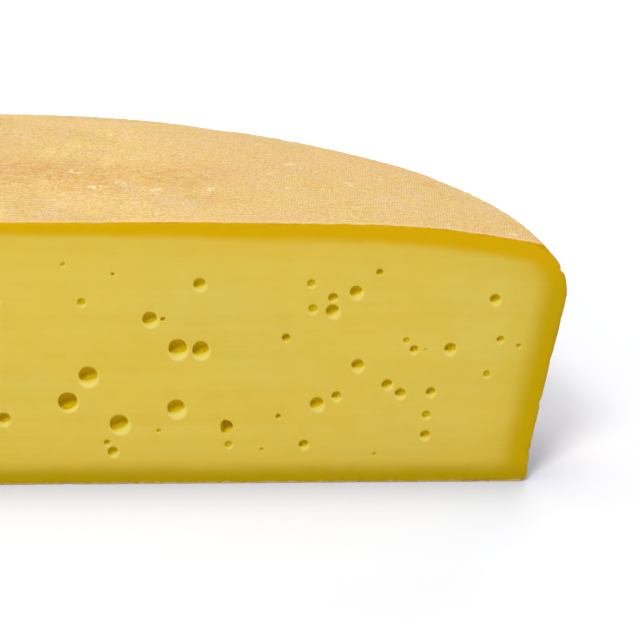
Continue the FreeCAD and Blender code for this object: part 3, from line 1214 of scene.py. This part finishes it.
def top_colour(r, layer, x, behind_cut):
    """Mottled tan with a wandering band of orange smears and a pale bloom."""
    colour = r.blend(r.between(layer["mottle"], 0.38, 0.62), TAN_YELLOW, TAN)
    colour = r.blend(r.between(layer["patches"], 0.45, 0.62, 0.0, 0.8), colour, TAN_PINK)
    wander = r.math("MULTIPLY", r.math("SUBTRACT", layer["wander"], 0.5), 30 * MM)
    off_smear = r.math("SUBTRACT", r.math("ADD", behind_cut, wander), SMEAR_BEHIND_CUT)
    off_smear = r.math("ABSOLUTE", off_smear)
    band = r.math("MULTIPLY", r.between(off_smear, 4 * MM, 26 * MM, 0.8, 0.0),
                  r.between(x, *SMEAR_ENDS, 1.0, 0.0))
    elsewhere = r.between(layer["patches"], 0.30, 0.42, 0.5, 0.0)
    smear = r.math("MULTIPLY", r.math("MAXIMUM", band, elsewhere),
                   r.between(layer["streaks"], 0.38, 0.62))
    colour = r.blend(smear, colour, SMEAR)
    return r.blend(r.between(layer["dust"], 0.54, 0.68, 0.0, 0.35), colour, BLOOM)


def side_colour(r, layer):
    """Brown and tan mottling under a thicker bloom."""
    side = r.blend(r.between(layer["mottle"], 0.40, 0.66), SIDE_TAN, SIDE_BROWN)
    return r.blend(r.between(layer["dust"], 0.50, 0.68, 0.0, 0.7), side, BLOOM)


print("tan as light:", [round(part, 2) for part in TAN[:3]])

# %% [markdown]
# The pressing cloth has printed its weave: rows of fine dots, clear in some places and worn away
# in others. On top the weave lies at a slant to the cut, and on the side it runs round the wheel,
# so the two are made separately and blended over the shoulder.

# %% Print the weave of the cloth
THREADS = (0.74 * MM, 2.2 * MM)         # pitch of the thin and of the thick threads
CLOTH_TURN = math.radians(11.0)


def weave(r, along, across):
    """The print of a plain weave from two lengths: a pit in every mesh between the threads."""
    warp = r.math("SINE", r.math("MULTIPLY", along, math.tau / THREADS[0]))
    weft = r.math("SINE", r.math("MULTIPLY", across, math.tau / THREADS[1]))
    return r.math("ADD", r.math("MULTIPLY", r.math("ADD", warp, weft), 0.25), 0.5)


def cloth_print(r, on_top):
    """The weave on top and side, slipped about a little, and where it is still clear."""
    slip = r.math("MULTIPLY", r.math("SUBTRACT", r.noise(16 * MM, detail=1.0), 0.5), 3.0 * MM)
    across, behind, _ = r.split(r.stretch((1.0, 1.0, 1.0), turn=CLOTH_TURN))
    top = weave(r, r.math("ADD", across, slip), r.math("SUBTRACT", behind, slip))
    x, y, z = r.split(r.place)
    around = r.math("ARCTAN2", r.math("SUBTRACT", y, cut_y), x)
    around = r.math("MULTIPLY", around, wheel_radius)
    side = weave(r, r.math("ADD", around, slip), r.math("SUBTRACT", z, slip))
    cloth = r.blend(on_top, side, top)
    patchy = r.between(r.noise(24 * MM, detail=2.0), 0.40, 0.60)
    right_hand = r.between(x, 0.12 * wheel_radius, 0.5 * wheel_radius, 0.15, 0.9)
    return cloth, r.math("MAXIMUM", right_hand, patchy)


print("dots of the weave across the top:", round(2 * wheel_radius / THREADS[0]))

# %% [markdown]
# Over everything lie small marks: pores, pale grit and flecks, a few white scuffs from turning the
# wheel on its shelf, the dots of the weave, and a frayed pale line where the knife came through.
# The same layers also raise the surface a little, and the rind stays matt.

# %% Mix the rind
PORE = paint(196, 150, 84)
SCUFFED = paint(252, 238, 204)
EDGE_CREAM = paint(248, 216, 154)


def small_marks(r, colour, layer, dots, behind_cut):
    """Pores, grit, flecks, scuffs, the dots of the weave and the frayed edge."""
    colour = r.blend(r.between(layer["fine"], 0.52, 0.36, 0.0, 0.26), colour, PORE)
    colour = r.blend(r.between(layer["grit"], 0.50, 0.24, 0.0, 0.50), colour, PORE)
    colour = r.blend(r.between(layer["grit"], 0.50, 0.74, 0.0, 0.60), colour, BLOOM)
    colour = r.blend(r.between(layer["flecks"], 0.66, 0.76, 0.0, 0.8), colour, BLOOM)
    scuffs = r.math("ADD", layer["scuffs"], r.math("MULTIPLY", layer["fine"], 0.14))
    colour = r.blend(r.between(scuffs, 0.74, 0.79, 0.0, 0.75), colour, SCUFFED)
    colour = r.blend(r.math("MULTIPLY", dots, 0.42), colour, PORE)
    frayed = r.math("ADD", behind_cut, r.math("MULTIPLY", layer["fine"], 1.6 * MM))
    return r.blend(r.between(frayed, 1.2 * MM, 3.0 * MM, 0.55, 0.0), colour, EDGE_CREAM)


def dry_surface(r, layer, printed):
    """A matt surface, raised by grit, fine wrinkles and the weave."""
    normal = r.raise_surface(layer["fine"], 0.22 * MM)
    normal = r.raise_surface(layer["grit"], 0.07 * MM, under=normal)
    normal = r.raise_surface(printed, 0.12 * MM, under=normal)
    r.feed(r.surface.inputs["Normal"], normal)
    r.feed(r.surface.inputs["Roughness"], r.between(layer["mottle"], 0.3, 0.7, 0.85, 0.68))
    r.surface.inputs["Specular IOR Level"].default_value = 0.22
    r.surface.inputs["Diffuse Roughness"].default_value = 0.4


def mix_rind():
    """The material of top, side and base."""
    r = Recipe("rind")
    x, y, _ = r.split(r.place)
    behind_cut = r.math("SUBTRACT", y, cut_y)
    facing_up = r.split(r.add("ShaderNodeNewGeometry").outputs["True Normal"])[2]
    cloth, clear = cloth_print(r, r.between(facing_up, 0.45, 0.85))
    layer = rind_layers(r)
    colour = r.blend(r.between(facing_up, 0.30, 0.90, 0.9, 0.0),
                     top_colour(r, layer, x, behind_cut), side_colour(r, layer))
    dots = r.math("MULTIPLY", r.between(cloth, 0.75, 0.15), clear)
    colour = small_marks(r, colour, layer, dots, behind_cut)
    r.feed(r.surface.inputs["Base Color"], colour)
    dry_surface(r, layer, r.math("MULTIPLY", cloth, clear))
    return r.material


rind = mix_rind()
print("rind:", len(rind.node_tree.nodes), "nodes")

# %% [markdown]
# ## Dress the cheese
#
# The finishes go into the two places that the faces already point to. The cheese then rides on the
# model's one body and stands in for its one node, which is hidden.

# %% Give the cheese its finishes and its place in the model
cheese_mesh.materials.append(rind)
cheese_mesh.materials.append(paste)
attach(cheese, "root")
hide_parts("half_wheel")
print("materials:", [m.name for m in cheese_mesh.materials])

# %% [markdown]
# ## The ground
#
# The cheese stands on a plain white ground that runs out of sight. Near the cheese the ground is
# an ordinary matt white, so it takes the shadow. A little extra white that only the camera sees
# lifts it to pure white where no shadow falls, and further out, beyond the lamps, more of it.
# Close under the cheese the ground sees little sky. There it gets less of the extra white and a
# darker, cooler matt colour, which is painted shade. In front of the cut the extra white is cooler
# too, which takes back the yellow that the paste throws on the ground.

# %% Say where the ground is shaded, lifted and seen
SHADE_REACH = 0.030
SHADE_SAMPLES = 16
LIFT_NEAR = 1.0
LIFT_FAR = 6.4
NEAR = 0.20
FAR = 0.50
LIFT_LOST = 0.6                 # share of the extra white that a nook loses
FRONT_REACH = 0.11


def nook_shade(r):
    """How much of the open sky a point of the ground misses, 0 to 1."""
    open_sky = r.add("ShaderNodeAmbientOcclusion", samples=SHADE_SAMPLES)
    open_sky.inputs["Distance"].default_value = SHADE_REACH
    return r.between(open_sky.outputs["AO"], 0.5, 1.0, 1.0, 0.0)


def extra_white(r, shaded):
    """How strong the extra white is: more of it far away, less in a nook."""
    away = r.add("ShaderNodeVectorMath", operation="LENGTH")
    r.feed(away.inputs[0], r.place)
    lift = r.between(away.outputs["Value"], NEAR, FAR, LIFT_NEAR, LIFT_FAR)
    kept = r.math("SUBTRACT", 1.0, r.math("MULTIPLY", shaded, LIFT_LOST))
    return r.math("MULTIPLY", lift, kept)


def seen_by_viewer(r):
    """1 for rays that come from the viewer, straight, off a shine or through glass."""
    seen = r.add("ShaderNodeLightPath")
    direct = r.math("MAXIMUM", seen.outputs["Is Camera Ray"], seen.outputs["Is Glossy Ray"])
    return r.math("MAXIMUM", direct, seen.outputs["Is Transmission Ray"])


def in_front_of_cut(r):
    """1 on the ground at the foot of the cut, fading forwards and beyond its two ends."""
    x, y, _ = r.split(r.place)
    to_cut = r.math("SUBTRACT", cut_y, y)
    beside = r.math("SUBTRACT", r.math("ABSOLUTE", x), wheel_radius)
    in_front = r.math("MULTIPLY", r.between(to_cut, 0.0, FRONT_REACH, 1.0, 0.0),
                      r.between(beside, -30 * MM, 20 * MM, 1.0, 0.0))
    return r.math("MULTIPLY", in_front, r.between(to_cut, -4 * MM, 2 * MM))


print("extra white grows from", NEAR, "to", FAR, "m")

# %% [markdown]
# Matt white and extra white are added up: one takes shadows, the other doesn't. Together they are
# a little over 1, which a screen shows as pure white. The sheet is so large that no view of the
# cheese reaches its edge, and it is only a stage, not a part of the cheese.

# %% Lay the ground
GROUND_WHITE = (0.84, 0.83, 0.78, 1.0)
GROUND_SHADE = (0.73, 0.76, 0.84, 1.0)      # painted shade close to the cheese, in every nook
GROUND_LIFT = (0.16, 0.18, 0.26, 1.0)
GROUND_LIFT_IN_FRONT = (0.17, 0.22, 0.36, 1.0)
GROUND_REACH = 12.0


def mix_ground():
    """Matt white that takes shadows, and an extra white that only the viewer sees."""
    r = Recipe("ground")
    shaded = nook_shade(r)
    matt = r.add("ShaderNodeBsdfDiffuse")
    r.feed(matt.inputs["Color"], r.blend(shaded, GROUND_WHITE, GROUND_SHADE))
    glow = r.add("ShaderNodeEmission")
    lift_colour = r.blend(in_front_of_cut(r), GROUND_LIFT, GROUND_LIFT_IN_FRONT)
    r.feed(glow.inputs["Color"], lift_colour)
    r.feed(glow.inputs["Strength"], r.math("MULTIPLY", seen_by_viewer(r), extra_white(r, shaded)))
    both = r.add("ShaderNodeAddShader")
    r.feed(both.inputs[0], matt.outputs[0])
    r.feed(both.inputs[1], glow.outputs[0])
    r.feed(r.output.inputs["Surface"], both.outputs[0])
    r.tree.nodes.remove(r.surface)
    return r.material


ground_mesh = bpy.data.meshes.new("ground")
ground_mesh.from_pydata(
    [(x * GROUND_REACH, y * GROUND_REACH, 0.0) for x, y in ((-1, -1), (1, -1), (1, 1), (-1, 1))],
    [], [(0, 1, 2, 3)])
ground_mesh.materials.append(mix_ground())
ground = bpy.data.objects.new("ground", ground_mesh)
bpy.context.scene.collection.objects.link(ground)
print("ground:", 2 * GROUND_REACH, "m wide")

# %% [markdown]
# ## The light
#
# Three lamps share the work. A fairly small one in front, to the left and not too high, draws the
# shadow inside every eye. A wide one hangs right above and gives the soft shade round the foot. A
# weak one behind shows the rind at the back. Small lamps draw hard shadows and wide ones soft, so
# the width matters as much as the power.

# %% Hang the lamps
LAMPS = [   # name, place, what it is turned to, width and power in watts
    ("front_lamp", (-0.42, -1.10, 1.26), (0.0, 0.0, 0.03), 0.42, 16.9),
    ("ceiling_lamp", (0.0, 0.22, 1.25), (0.0, 0.05, 0.0), 1.0, 5.3),
    ("back_lamp", (0.50, 1.25, 0.92), (0.0, 0.0, 0.04), 0.9, 6.5),
]


def hang_lamp(name, place, aim, width, power):
    """A square soft lamp at a place, turned towards what it lights."""
    lamp = bpy.data.lights.new(name, "AREA")
    lamp.size = width
    lamp.energy = power
    holder = bpy.data.objects.new(name, lamp)
    holder.location = place
    holder.rotation_euler = (Vector(aim) - Vector(place)).to_track_quat("-Z", "Y").to_euler()
    bpy.context.scene.collection.objects.link(holder)


for lamp_data in LAMPS:
    hang_lamp(*lamp_data)
print(len(LAMPS), "lamps")

# %% [markdown]
# The sky keeps the shadows open. Together with the lamps it lights the top about as much as a
# plain white sky would, so colours come out as they are written. Seen straight by the camera it is
# pure white, whatever light it gives, so that it meets the ground without an edge. The plain view
# transform changes no colour on its way to the screen.

# %% Fill the sky
SKY_FILL = 0.20
SKY_SEEN = 1.0
world = bpy.data.worlds.new("sky")
world.use_nodes = True
bpy.context.scene.world = world
sky = world.node_tree
sky.nodes.clear()
path = sky.nodes.new("ShaderNodeLightPath")
choose = sky.nodes.new("ShaderNodeMixShader")
sky.links.new(path.outputs["Is Camera Ray"], choose.inputs[0])
for place, strength in enumerate((SKY_FILL, SKY_SEEN), start=1):
    glow = sky.nodes.new("ShaderNodeBackground")
    glow.inputs["Color"].default_value = (1.0, 1.0, 1.0, 1.0)
    glow.inputs["Strength"].default_value = strength
    sky.links.new(glow.outputs[0], choose.inputs[place])
sky_out = sky.nodes.new("ShaderNodeOutputWorld")
sky.links.new(choose.outputs[0], sky_out.inputs["Surface"])
bpy.context.scene.view_settings.view_transform = "Standard"
print("sky gives", SKY_FILL, "of the light of a white sky")

# %% [markdown]
# ## How big the shown cheese should be
#
# The box of the packed model was measured right after loading. The box of everything that is now
# shown should be almost the same, a few tenths of a millimetre apart, since the rind only waves
# about the clean outline.
